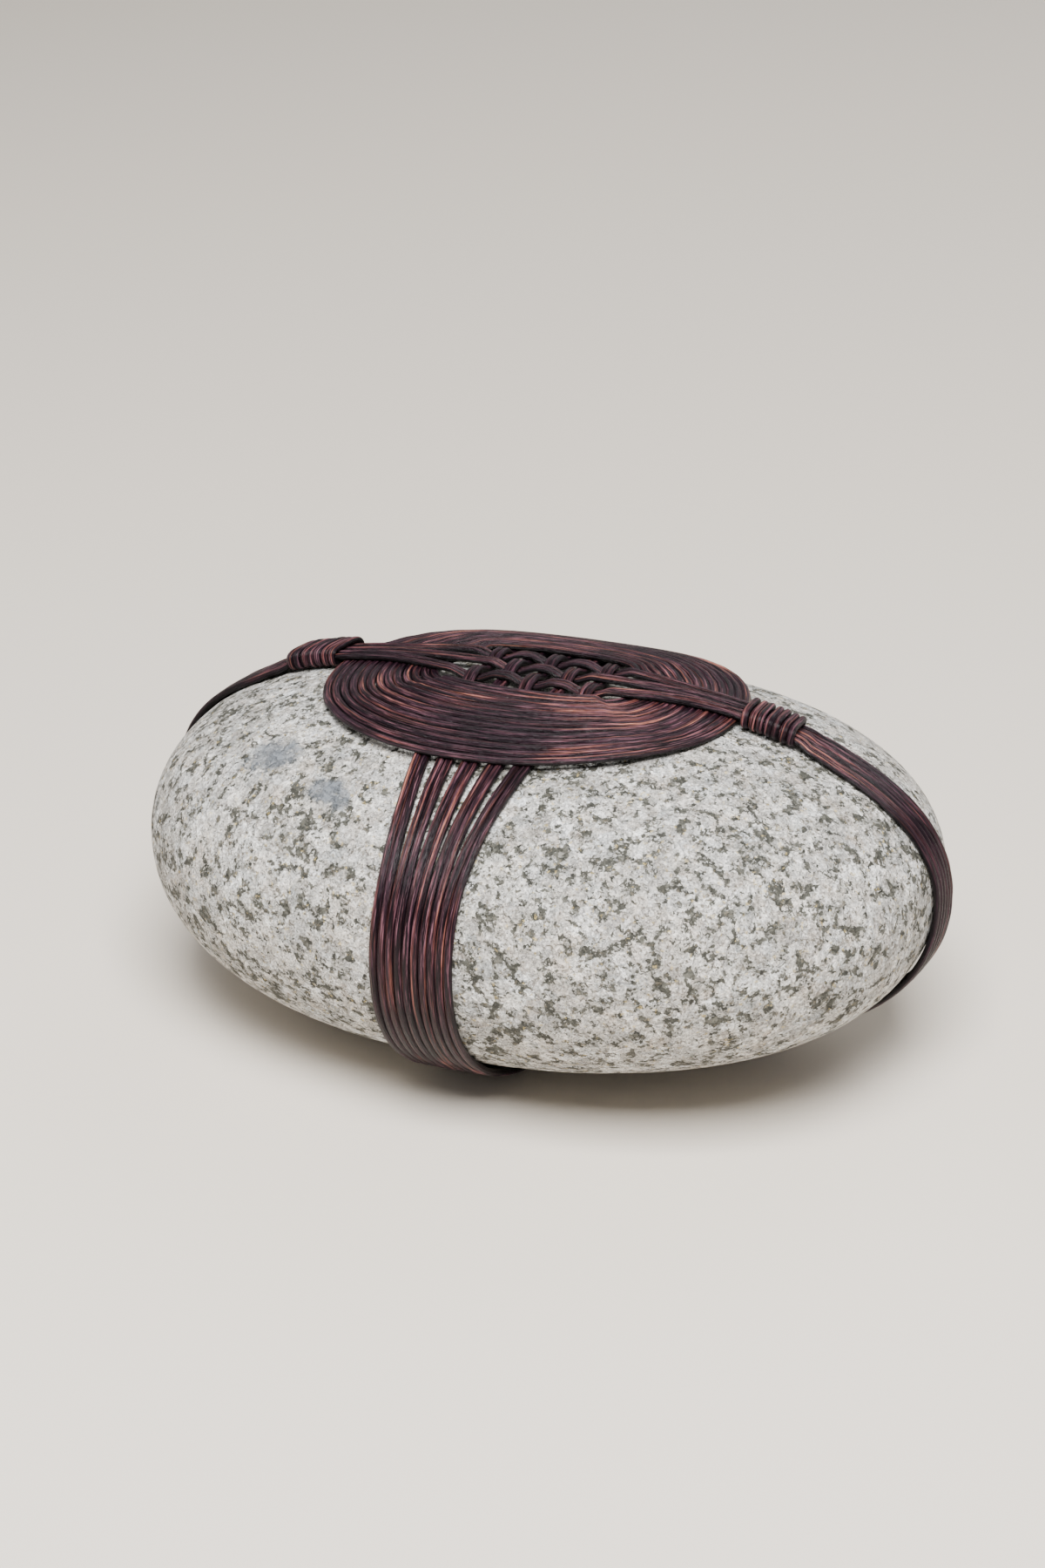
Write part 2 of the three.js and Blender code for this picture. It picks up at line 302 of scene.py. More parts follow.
# %% Cane along a route
SIDES = 12
REST_LEVEL = 0.02 - STONE_MIDDLE.z
JOIN_FADE = 12
WANDER, WANDER_LENGTH = 0.1, 17
LIFT, LIFT_LENGTH = 0.05, 23
SWELL, SWELL_LENGTH = 0.045, 9
FLUTES, FLUTE_LENGTH, FLUTE_ROUND = 0.035, 40, 2.3
STRANDS_APART, GRAIN_SHIFT = 3.1, 0.7
# Each strand has a number of its own, from which its unevenness and its grain start
GIRTH_NUMBER, RING_NUMBER, BAND_NUMBER, WHIPPING_NUMBER = 0, 20, 40, 50


def uneven(along, length, number, which):
    """A slow change along a strand, between -1 and 1."""
    return noise.noise(Vector((along / length, number * STRANDS_APART, which)))


def strand_mesh(name, centre, out, half, number, closed=True):
    """A strand whose section is carried along a line, with texture numbers in metres."""
    count = len(centre)
    if closed:
        tangent = np.roll(centre, -1, 0) - np.roll(centre, 1, 0)
    else:
        tangent = np.gradient(centre, axis=0)
    tangent /= np.linalg.norm(tangent, axis=1, keepdims=True)
    across = np.cross(out, tangent)
    across /= np.linalg.norm(across, axis=1, keepdims=True)
    up = np.cross(tangent, across)
    steps = np.linalg.norm(np.diff(centre, axis=0, append=centre[:1]), axis=1)
    along = np.concatenate([[0], np.cumsum(steps)])
    fade = np.ones(count)
    if closed:
        fade = np.minimum(1, np.minimum(np.arange(count), count - np.arange(count)) / JOIN_FADE)
    angles = 2 * np.pi * np.arange(SIDES) / SIDES
    points = np.empty((count, SIDES, 3))
    for i in range(count):
        wander = uneven(along[i], WANDER_LENGTH, number, 0) * WANDER * fade[i]
        lift = uneven(along[i], LIFT_LENGTH, number, 9) * LIFT * fade[i]
        swell = 1 + SWELL * uneven(along[i], SWELL_LENGTH, number, 5) * fade[i]
        here = centre[i] + across[i] * wander + up[i] * lift
        for j, angle in enumerate(angles):
            side, rise = math.sin(angle), math.cos(angle)
            place = Vector((along[i] / FLUTE_LENGTH, side * FLUTE_ROUND + number,
                            rise * FLUTE_ROUND))
            flute = 1 + FLUTES * noise.noise(place) * fade[i]
            points[i, j] = (here + across[i] * side * half[i][0] * swell * flute
                            + up[i] * rise * half[i][1] * swell * flute)
    points[..., 2] = np.maximum(points[..., 2], REST_LEVEL)
    return tube_object(name, points, along, number, closed)


def tube_object(name, points, along, number, closed):
    """The mesh of a tube, closed on itself or with two cut ends, and its texture numbers."""
    count, sides = points.shape[:2]
    index = np.arange(count * sides).reshape(count, sides)
    rows = count if closed else count - 1
    here, there = index[:rows], np.roll(index, -1, 0)[:rows]
    faces = np.stack([here, np.roll(here, -1, 1), np.roll(there, -1, 1), there], -1)
    faces = faces.reshape(-1, 4).tolist()
    if not closed:
        faces += [index[0][::-1].tolist(), index[-1].tolist()]
    mesh = bpy.data.meshes.new(name)
    mesh.from_pydata(((points.reshape(-1, 3) + np.array(STONE_MIDDLE)) * MM).tolist(), [], faces)
    start, end = along[:rows] * MM, along[1:rows + 1] * MM
    around = np.arange(sides) / sides
    u = np.stack([start, start, end, end], -1)[:, None, :].repeat(sides, 1)
    v = np.stack([around, around + 1 / sides, around + 1 / sides, around], -1)
    v = v[None].repeat(rows, 0)
    numbers = np.stack([u + number * GRAIN_SHIFT, v], -1).reshape(-1, 2)
    if not closed:
        numbers = np.vstack([numbers, np.zeros((2 * sides, 2))])
    mesh.uv_layers.new(name="cane").data.foreach_set("uv", numbers.astype(np.float32).ravel())
    mesh.shade_smooth()
    piece = bpy.data.objects.new(name, mesh)
    bpy.context.scene.collection.objects.link(piece)
    return piece


print("a strand has", SIDES, "sides")

# %% [markdown]
# ## The girth strands
#
# Five pairs go round the girth. Low on the stone they lie edge to edge, and towards the crown
# they fan out until there is a gap of stone between the pairs. They pass under the ring, go over
# and under the lengthwise strands, and come down the back. Under the stone they cross over the
# lengthwise strands, so they are what the object stands on, and the stone's weight has pressed
# them flat there. The ring's outline is written down in this step too, because the girth strands
# have to be low where they pass under it.

# %% Where the girth pairs run
GIRTH_PAIRS = 5
GIRTH_MIDDLE, GIRTH_SLANT = -2.85, -0.0215
GIRTH_PAIR_PITCH = 7.9
FAN_START, FAN_POWER = 5, 3.3
ROWS = (0, 7.75, 15.5)
CROSSING_HALF = 1.1
WOVEN_PITCH, WOVEN_HALF = 1.75, (0.87, 0.82)
WOVEN_FROM = (28, 21)
GIRTH_LOW, GIRTH_HALF = 1.1, (1.1, 1.0)
UNDER_STONE = 2.95
CAUGHT_UNDER = (28, 58)
BEHIND_RING, BEFORE_RING = (45, 32), (-26, -40)
# Degrees round the girth, from the crown down the front to the underside
FLANK = (137, 150, 161, 171, 180, 189, 199, 210, 222, 236, 252, 270)
FULL_TURN_AND_HALF = 540


def woven(y):
    """How tightly the strands are pulled together, which they are inside the ring."""
    return ease(*WOVEN_FROM, abs(y - ROWS[1]))


def girth_x(pair, side, y, z):
    opened = min(max((z - FAN_START) / (CROWN - FAN_START), 0), 1) ** FAN_POWER
    pitch = mix(2 * STRAND_PITCH, GIRTH_PAIR_PITCH, opened)
    middle = GIRTH_MIDDLE + GIRTH_SLANT * y
    apart = mix(STRAND_PITCH, WOVEN_PITCH, woven(y) if z > 0 else 0)
    return middle + (pair - (GIRTH_PAIRS - 1) / 2) * pitch + (side - 0.5) * apart


def girth_on_top(pair, row):
    return (pair + row) % 2 == 0


def girth_crown(pair, side, y, height):
    z = on_crown(GIRTH_MIDDLE, y)[2]
    half = [mix(*sizes, woven(y)) for sizes in zip(GIRTH_HALF, WOVEN_HALF)]
    return on_crown(girth_x(pair, side, y, z), y), height, half


def girth_flank(pair, side, degrees):
    angle = math.radians(degrees)
    towards = np.array([0, HALF_DEPTH * math.cos(angle), CROWN * math.sin(angle)])
    _, y, z = on_stone([GIRTH_MIDDLE, 0, 0], towards)[0]
    start = [girth_x(pair, side, y, z), 0, 0]
    freed = ease(*CAUGHT_UNDER, abs(y)) if z < 0 else 1
    return on_stone(start, towards)[0], mix(UNDER_STONE, GIRTH_LOW, freed), GIRTH_HALF


print("the girth band is", GIRTH_PAIRS * 2 * STRAND_PITCH, "mm wide where it is closed")

# %% Where the ring's strands run
RING_STRANDS, RING_STEPS = 13, 40
RING_MIDDLE_X, RING_SLANT = -3.6, 0.03
RING_HALF_LENGTH = (27.7, 53.4)
RING_FRONT, RING_BACK = (-8.4, -38.1), (23.2, 47.4)
RING_ROUNDING = (2.6, 2.2)
LOW_UNTIL, HIGH_FROM = (0.7, 0.27), (0.83, 0.96)
UNDER_RING, OVER_RING = 1.2, 3.5
RIM_LIFT = 0.15


def ring_outline(t):
    """The outline in plan of a ring strand, from the inner one, 0, to the outer one, 1."""
    front, back = mix(*RING_FRONT, t), mix(*RING_BACK, t)
    return ((front + back) / 2, (back - front) / 2, mix(*RING_HALF_LENGTH, t),
            mix(*RING_ROUNDING, t))


def ring_reach_x(t, y):
    middle, half_depth, half_length, power = ring_outline(t)
    return half_length * (1 - abs((y - middle) / half_depth) ** power) ** (1 / power)


def ring_reach_y(t, x):
    _, half_depth, half_length, power = ring_outline(t)
    return half_depth * (1 - abs((x - RING_MIDDLE_X) / half_length) ** power) ** (1 / power)


print("the ring is", 2 * RING_HALF_LENGTH[1], "mm long")

# %% The girth strands


def girth_stations(pair, side):
    crown_x = girth_x(pair, side, 0, CROWN)
    opening = ring_reach_y(0, crown_x) - UNDER_RING
    middle = ring_outline(0)[0] + RING_SLANT * (crown_x - RING_MIDDLE_X)
    stations = [girth_crown(pair, side, y, GIRTH_LOW) for y in BEHIND_RING]
    stations.append(girth_crown(pair, side, middle + opening, LOW))
    for row in (2, 1, 0):
        height = HIGH if girth_on_top(pair, row) else LOW
        for y in (ROWS[row] + CROSSING_HALF, ROWS[row] - CROSSING_HALF):
            stations.append(girth_crown(pair, side, y, height))
    stations.append(girth_crown(pair, side, middle - opening, LOW))
    stations += [girth_crown(pair, side, y, GIRTH_LOW) for y in BEFORE_RING]
    stations += [girth_flank(pair, side, degrees) for degrees in FLANK]
    back = [FULL_TURN_AND_HALF - degrees for degrees in FLANK[-2::-1]]
    return stations + [girth_flank(pair, side, degrees) for degrees in back]


def start_underneath(centre, *others):
    """Turns a closed line so that it starts where it is lowest, out of sight."""
    lowest = int(np.argmin(centre[:, 2]))
    return [np.roll(values, -lowest, 0) for values in (centre, *others)]


cane_pieces = []


def add_strand(name, node, stations, number):
    piece = strand_mesh(name, *start_underneath(*smooth_route(stations)), number)
    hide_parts(node)
    cane_pieces.append(piece)


for number in range(2 * GIRTH_PAIRS):
    node = f"girth_strand_{number + 1}"
    stations = girth_stations(*divmod(number, 2))
    add_strand(f"girth_cane_{number + 1}", node, stations, GIRTH_NUMBER + number)
print("made", len(cane_pieces), "girth strands")

# %% [markdown]
# ## The ring
#
# Thirteen strands lie side by side in a flat oval round the weave. In front and behind they
# bridge the girth pairs, and at the two ends they come down to the stone. Each strand is its own
# closed oval, with an outline between that of the inner strand and that of the outer one.

# %% The ring's strands


def ring_stations(number):
    t = number / (RING_STRANDS - 1)
    middle, half_depth, half_length, power = ring_outline(t)
    rising = mix(*LOW_UNTIL, t), mix(*HIGH_FROM, t)
    stations = []
    for i in range(RING_STEPS):
        angle = 2 * math.pi * (i + 0.5) / RING_STEPS
        cos, sin = math.cos(angle), math.sin(angle)
        along = half_length * math.copysign(abs(cos) ** (2 / power), cos)
        deep = math.copysign(abs(sin) ** (2 / power), sin)
        x, y = RING_MIDDLE_X + along, middle + half_depth * deep + RING_SLANT * along
        risen = ease(*rising, abs(deep))
        height = mix(LOW, HIGH + RIM_LIFT * t, risen)
        stations.append((on_crown(x, y), height, FLAT_HALF))
    return stations


for number in range(RING_STRANDS):
    node = f"ring_strand_{number + 1}"
    add_strand(f"ring_cane_{number + 1}", node, ring_stations(number), RING_NUMBER + number)
print("made", RING_STRANDS, "ring strands")

# %% [markdown]
# ## The lengthwise strands
#
# Three pairs weave over and under the girth pairs inside the ring. They leave it over its ends,
# close up into one narrow ribbon that the whippings hold, and spread again into a flat band that
# goes round each end of the stone and underneath it.

# %% Where the lengthwise strands run
LENGTHWISE_STRANDS = 6
BAND_MIDDLE, BAND_PITCH, BAND_SLANT = 8, 2.2, 1.3
BAND_LOW, BAND_HALF = 1.0, (1.08, 0.88)
END_BOW, END_BOW_FROM = 1.2, (22, -58)
BAND_SWING, BAND_SWING_FROM = 6, (-0.15, 0.6)
WHIPPINGS = {"left": (-57.8, -71.6, 7.8), "right": (51.8, 65.8, 8.4)}
WRAP_LEAN = {"left": 1.2, "right": 0.1}
SQUEEZED_PITCH, SQUEEZED_HALF = 1.4, (0.78, 0.82)
SQUEEZED_HEIGHT, NESTLED = 2.6, 0.5
GATHERING = ((0, 0.08), (0.3, 0.5), (0.6, 0.85))
SPREADING = ((1.2, 0.2), (5, 0.7), (13, 1))
PAST_RIM = 1
END_START = 34
# Degrees from the right end's middle, over the end and down to the underside
END = (27, 19, 11, 3, -5, -13, -21, -30, -40, -50, -58, -63, -69, -78)


def band_places(number):
    """Where a strand lies across the stone: in its row of the weave, and in the flat band."""
    row, side = divmod(number, 2)
    order = number - (LENGTHWISE_STRANDS - 1) / 2
    return ROWS[row] + (side - 0.5) * WOVEN_PITCH, order, BAND_MIDDLE + order * BAND_PITCH


def gather(inner, outer, middle, start, number):
    """From the weave over the ring, through a whipping and out along the stone."""
    woven_y, order, flat_y = band_places(number)
    squeezed_y = middle + order * SQUEEZED_PITCH
    nestled = NESTLED * (number % 2)
    away = math.copysign(1, outer)
    stations = []

    def place(x, y, height, closed, open_half):
        half = [mix(*sizes, closed) for sizes in zip(open_half, SQUEEZED_HALF)]
        stations.append((on_crown(x, y), height + nestled * closed, half))

    for along, closed in GATHERING:
        x, y = mix(start, inner, along), mix(woven_y, squeezed_y, closed)
        place(x, y, HIGH, math.sqrt(closed), WOVEN_HALF)
    rim = RING_MIDDLE_X + away * (ring_reach_x(1, squeezed_y) + PAST_RIM)
    place(rim, squeezed_y, HIGH, 1, WOVEN_HALF)
    place((inner + outer) / 2, squeezed_y, SQUEEZED_HEIGHT, 1, WOVEN_HALF)
    for past, spread in SPREADING:
        y = mix(squeezed_y, flat_y + away * BAND_SLANT, spread)
        height = mix(SQUEEZED_HEIGHT, BAND_LOW, spread)
        place(outer + away * past, y, height, 1 - spread, BAND_HALF)
    return stations


def band_end(number, degrees):
    angle = math.radians(degrees)
    towards = [HALF_LENGTH * math.cos(angle), 0, CROWN * math.sin(angle)]
    turn = (degrees - END_BOW_FROM[0]) / (END_BOW_FROM[1] - END_BOW_FROM[0])
    bowed = math.sin(math.pi * min(max(turn, 0), 1)) ** 2
    bow = END_BOW * bowed * number / (LENGTHWISE_STRANDS - 1)
    y = band_places(number)[2] + BAND_SLANT * math.cos(angle)
    y -= BAND_SWING * ease(*BAND_SWING_FROM, -math.sin(angle))
    return on_stone([0, y, 0], towards)[0], BAND_LOW + bow, BAND_HALF


print("the band is", LENGTHWISE_STRANDS * BAND_PITCH, "mm wide where it is flat")

# %% The lengthwise strands


def band_stations(number):
    row = number // 2
    woven_y = band_places(number)[0]
    ring_end = ring_reach_x(0, woven_y) - OVER_RING
    stations = gather(*WHIPPINGS["left"], RING_MIDDLE_X - ring_end, number)[::-1]
    z = on_crown(GIRTH_MIDDLE, woven_y)[2]
    for pair in range(GIRTH_PAIRS):
        height = LOW if girth_on_top(pair, row) else HIGH
        x = girth_x(pair, 0.5, woven_y, z)
        for crossing in (x - CROSSING_HALF, x + CROSSING_HALF):
            stations.append((on_crown(crossing, woven_y), height, WOVEN_HALF))
    stations += gather(*WHIPPINGS["right"], RING_MIDDLE_X + ring_end, number)
    ends = [END_START, *END, -90, *(-180 - degrees for degrees in END[::-1])]
    return stations + [band_end(number, degrees) for degrees in ends]


for number in range(LENGTHWISE_STRANDS):
    node = f"lengthwise_strand_{number + 1}"
    stations = band_stations(number)
    add_strand(f"lengthwise_cane_{number + 1}", node, stations, BAND_NUMBER + number)
print("made", LENGTHWISE_STRANDS, "lengthwise strands")

# %% [markdown]
# ## The whippings
#
# Each whipping is one strand, wound seven times round the gathered band. A screw of even turns
# would look machined, so the turns lean a little and differ in tightness. The line goes round a
# squarish oval: it is flat on the stone and over the band, and tight at the two sides.

# %% The whippings
TURNS = 7
TURN_STEPS = 44
WRAP_HALF = (0.98, 0.86)
WRAP_HEIGHTS = (0.95, 5.2)
WRAP_HALF_WIDTH = 5.25
WRAP_SQUARENESS = 0.6
LOOSENESS, LOOSE_PACE, LOOSE_LEVELS = (0.25, 0.25, 0.2), 0.9, (2.3, 5.7, 9.1)


def whipping_route(inner, outer, middle, lean):
    """The line of a whipping's strand, and the direction away from the band at each point."""
    count = TURNS * TURN_STEPS
    turn = np.arange(count + 1) / TURN_STEPS
    angle = 2 * math.pi * turn - math.pi / 2
    loose = [[noise.noise(Vector((t * LOOSE_PACE, inner, level))) for level in LOOSE_LEVELS]
             for t in turn]
    loose = np.array(loose) * LOOSENESS
    side = np.sign(np.cos(angle)) * np.abs(np.cos(angle)) ** WRAP_SQUARENESS
    rise = np.sign(np.sin(angle)) * np.abs(np.sin(angle)) ** WRAP_SQUARENESS
    x = mix(inner, outer, turn / TURNS) + side * lean + loose[:, 0]
    surface = on_stone(np.stack([x, np.full(count + 1, middle), x * 0], -1), [0, 0, CROWN])
    up = outward(surface)
    across = np.cross(up, [1, 0, 0])
    across /= np.linalg.norm(across, axis=1, keepdims=True)
    height = sum(WRAP_HEIGHTS) / 2 + rise * (WRAP_HEIGHTS[1] - WRAP_HEIGHTS[0]) / 2
    reach = side * (WRAP_HALF_WIDTH + loose[:, 1])
    centre = surface + across * reach[:, None] + up * (height + loose[:, 2])[:, None]
    out = across * side[:, None] + up * rise[:, None]
    return centre, out / np.linalg.norm(out, axis=1, keepdims=True)


for number, (side, places) in enumerate(WHIPPINGS.items()):
    centre, out = whipping_route(*places, WRAP_LEAN[side])
    half = [WRAP_HALF] * len(centre)
    name, number = f"whipping_cane_{side}", WHIPPING_NUMBER + number
    piece = strand_mesh(name, centre, out, half, number, closed=False)
    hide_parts(f"whipping_{side}")
    cane_pieces.append(piece)
print("made", len(cane_pieces), "pieces of cane in all")

# %% [markdown]
# ## The finish of granite
#
# Granite is a packing of crystals. Pale feldspar and milky quartz fill most of it, a few
# millimetres each, and dark mica sits between them in loose clusters of specks. The river has
# left it matt. Cells whose borders are bent by noise stand for the crystals, and each cell draws
# its own tint. Smaller cells stand for the mica: a cell is dark if the number it draws is lower
# than a coarse noise there, so the specks crowd into clusters and keep sharp corners.
# All patterns read the stone's own coordinates, so they go through it as real crystals do. The
# stone is darker under the weave, where a shade from the strands over it is painted on.

# %% Helpers for building finishes


class Finish:
    """A material that is built one node at a time."""

    def __init__(self, name):
        self.material = bpy.data.materials.new(name)
        self.material.use_nodes = True
        self.nodes = self.material.node_tree.nodes
        self.links = self.material.node_tree.links
        self.shader = self.nodes["Principled BSDF"]

    def node(self, kind, inputs=None, **settings):
        made = self.nodes.new(kind)
        for key, value in settings.items():
            setattr(made, key, value)
        for key, value in (inputs or {}).items():
            self.feed(made.inputs[key], value)
        return made

    def feed(self, socket, value):
        if isinstance(value, bpy.types.NodeSocket):
            self.links.new(value, socket)
        else:
            socket.default_value = value

    def math(self, operation, *values, clamp=False):
        made = self.node("ShaderNodeMath", operation=operation, use_clamp=clamp)
        for socket, value in zip(made.inputs, values):
            self.feed(socket, value)
        return made.outputs[0]

    def noise(self, vector, scale, detail=2.0, roughness=0.5):
        inputs = {"Vector": vector, "Scale": scale, "Detail": detail, "Roughness": roughness}
        return self.node("ShaderNodeTexNoise", inputs).outputs["Fac"]

    def step(self, value, low, high, to_low=0.0, to_high=1.0):
        inputs = {"Value": value, "From Min": low, "From Max": high,
                  "To Min": to_low, "To Max": to_high}
        made = self.node("ShaderNodeMapRange", inputs, interpolation_type="SMOOTHSTEP")
        return made.outputs["Result"]

    def blend(self, amount, first, second, kind="MIX"):
        made = self.node("ShaderNodeMix", data_type="RGBA", blend_type=kind)
        self.feed(made.inputs[0], amount)
        self.feed(made.inputs[6], first)
        self.feed(made.inputs[7], second)
        return made.outputs[2]

    def scaled(self, colour, amount):
        made = self.node("ShaderNodeVectorMath", operation="SCALE")
        self.feed(made.inputs[0], colour)
        self.feed(made.inputs[3], amount)
        return made.outputs[0]

    def ramp(self, value, *stops):
        made = self.node("ShaderNodeValToRGB", {"Fac": value})
        ramp = made.color_ramp
        while len(ramp.elements) < len(stops):
            ramp.elements.new(0.5)
        for element, (place, colour) in zip(ramp.elements, stops):
            element.position = place
            element.color = (*colour, 1)
        return made.outputs["Color"]

    def bump(self, *layers):
        normal = None
        for height, distance in layers:
            inputs = {"Height": height, "Distance": distance, "Strength": 1.0}
            made = self.node("ShaderNodeBump", inputs)
            if normal:
                self.links.new(normal, made.inputs["Normal"])
            normal = made.outputs["Normal"]
        self.links.new(normal, self.shader.inputs["Normal"])


print("the helpers are ready")

# %% Pale crystals
FELDSPAR = ((0.0, (0.95, 0.98, 1.0)), (0.2, (0.74, 0.71, 0.66)), (0.38, (0.42, 0.40, 0.37)),
            (0.55, (0.72, 0.72, 0.71)), (0.72, (0.46, 0.40, 0.34)), (0.86, (0.97, 0.96, 0.93)),
            (1.0, (0.34, 0.36, 0.37)))
WARM_STAIN = (0.62, 0.56, 0.49, 1)
LARGE_CRYSTALS, SMALL_CRYSTALS, SMALL_SHARE = 245.0, 560.0, 0.42


def crystals(f, vector, scale):
    """Two numbers that every crystal of a size draws for itself."""
    cells = f.node("ShaderNodeTexVoronoi", {"Vector": vector, "Scale": scale, "Randomness": 1.0})
    drawn = f.node("ShaderNodeSeparateColor", {"Color": cells.outputs["Color"]})
    return drawn.outputs[0], drawn.outputs[1]


def bent(f, vector, scale, reach):
    """Coordinates whose borders wander, so that no crystal has straight sides."""
    bend = f.node("ShaderNodeTexNoise", {"Vector": vector, "Scale": scale, "Detail": 3.0})
    shift = f.node("ShaderNodeVectorMath", operation="MULTIPLY_ADD")
    f.feed(shift.inputs[0], bend.outputs["Color"])
    shift.inputs[1].default_value = (reach, reach, reach)
    f.feed(shift.inputs[2], vector)
    return shift.outputs[0]


def pale_crystals(f, place, wavy, fine):
    """Feldspar and quartz, with a warm stain in places and a fine grain all over."""
    tint, _ = crystals(f, wavy, LARGE_CRYSTALS)
    small_tint, _ = crystals(f, wavy, SMALL_CRYSTALS)
    pale = f.blend(SMALL_SHARE, f.ramp(tint, *FELDSPAR), f.ramp(small_tint, *FELDSPAR))
    pale = f.blend(f.step(f.noise(place, 60, 3), 0.42, 0.68, 0, 0.3), pale, WARM_STAIN)
    tone = f.step(f.noise(place, 120, 2), 0.36, 0.64, 0.82, 1.1)
    grain = f.math("MULTIPLY", f.step(fine, 0.32, 0.68, 0.66, 1.28), tone)
    return f.scaled(pale, grain)


print(len(FELDSPAR), "tints of pale crystal")

# %% Mica and the smallest grains
MICA = ((0.0, (0.022, 0.023, 0.016)), (0.5, (0.055, 0.055, 0.042)), (1.0, (0.13, 0.127, 0.105)))
MICA_HALO, PEPPER, OCHRE = (0.32, 0.32, 0.295, 1), (0.17, 0.15, 0.11, 1), (0.60, 0.47, 0.20, 1)
MICA_SPECKS, MICA_STRENGTH, SMALL_GRAINS = 960.0, 0.93, 1500.0


def with_mica(f, place, wavy, ragged, colour):
    """Dark specks in loose clusters, each cluster with a dull halo."""
    crowd = f.noise(place, 38, 3)
    cluster = f.math("ADD", f.noise(wavy, 290, 3, 0.6), f.step(crowd, 0.3, 0.7, -0.035, 0.035))
    colour = f.blend(f.step(cluster, 0.45, 0.6, 0, 0.68), colour, MICA_HALO)
    drawn, shade = crystals(f, ragged, MICA_SPECKS)
    share = f.step(cluster, 0.475, 0.64, 0.03, 0.95)
    dark = f.step(f.math("SUBTRACT", share, drawn), -0.03, 0.05)
    return f.blend(f.math("MULTIPLY", dark, MICA_STRENGTH), colour, f.ramp(shade, *MICA))


def with_small_grains(f, ragged, colour):
    """Single brown and ochre grains, scattered evenly."""
    drawn, shade = crystals(f, ragged, SMALL_GRAINS)
    colour = f.blend(f.step(drawn, 0.07, 0.05, 0, 0.75), colour, PEPPER)
    return f.blend(f.step(shade, 0.978, 0.985, 0, 0.6), colour, OCHRE)


print(len(MICA), "tints of mica")

# %% Granite
GLASSY_PATCHES = ((Vector((-58.4, -38.6, 31.4)), 6.6), (Vector((-53.8, -39.6, 33.6)), 5.6),
                  (Vector((-37.2, -50.6, 31)), 4.6), (Vector((-33, -51.2, 31.2)), 4.6))
# The dark patch under the weave and its colour are painted shade from the strands over it
PAINTED_SHADE_UNDER_WEAVE = (Vector((-3.6, 7.8, 46)), 32)
GLASSY, PAINTED_SHADE_COLOUR = (0.165, 0.185, 0.21, 1), (0.075, 0.07, 0.055, 1)
PATCH_STRENGTH, PATCH_BORDER = 0.8, (0.5, 1.2)


def near(f, place, middle, reach):
    """How much a place belongs to a patch round a point, with a ragged border."""
    where = (middle + STONE_MIDDLE) * MM
    far = f.node("ShaderNodeVectorMath", operation="DISTANCE")
    f.feed(far.inputs[0], place)
    far.inputs[1].default_value = where
    ragged = f.math("MULTIPLY_ADD", f.noise(place, 260, 4, 0.7), 0.012, -0.006)
    reached = f.math("ADD", far.outputs["Value"], ragged)
    inner, outer = (reach * MM * border for border in PATCH_BORDER)
    return f.step(reached, inner, outer, PATCH_STRENGTH, 0)


def granite():
    f = Finish("water_worn_granite")
    place = f.node("ShaderNodeTexCoord").outputs["Object"]
    wavy, ragged = bent(f, place, 420.0, 0.005), bent(f, place, 1300.0, 0.0016)
    fine = f.noise(place, 1700, 3, 0.65)
    colour = pale_crystals(f, place, wavy, fine)
    colour = with_small_grains(f, ragged, with_mica(f, place, wavy, ragged, colour))
    for middle, reach in GLASSY_PATCHES:
        colour = f.blend(near(f, place, middle, reach), colour, GLASSY)
    # Painted shade on the stone under the weave
    colour = f.blend(near(f, place, *PAINTED_SHADE_UNDER_WEAVE), colour, PAINTED_SHADE_COLOUR)
    f.feed(f.shader.inputs["Base Color"], colour)
    f.feed(f.shader.inputs["Roughness"], f.step(fine, 0.3, 0.8, 0.86, 0.6))
    f.shader.inputs["Specular IOR Level"].default_value = 0.35
    pits = f.step(f.noise(place, 520, 4, 0.6), 0.62, 0.42)
    f.bump((pits, 0.0009), (fine, 0.0006), (f.noise(place, 190, 3), 0.0012))
    return f.material


stone.data.materials.append(granite())
print(stone.name, "is", stone.data.materials[0].name)

# %% [markdown]
# ## The finish of dyed cane
#
# The dye is a dark aubergine that has gone deep into the soft side of the cane and has worn off
# the crests, where a red brown shows in long streaks. Fine fibres run along each strand and give
# it a satin gleam, and a lilac sheen is painted on the fibres of the crests. Each strand is also
# painted darker on its sides and underside, as shade. The pattern reads the strand's own texture
# numbers: the first runs along it and is stretched, and the second is wound into a circle, so
# that no seam shows.

# %% Dyed cane
DYED = ((0.3, (0.0034, 0.0012, 0.003)), (0.52, (0.0085, 0.0026, 0.0066)),
        (0.72, (0.023, 0.0075, 0.0155)))
RUBBED = ((0.48, (0.045, 0.013, 0.017)), (0.6, (0.14, 0.042, 0.04)), (0.72, (0.47, 0.18, 0.11)))
# The lilac colour is a painted sheen on the crests; the dust is real
PAINTED_SHEEN_COLOUR, DUST = (0.2, 0.088, 0.112, 1), (0.42, 0.34, 0.31, 1)
DUST_STRENGTH = 0.45


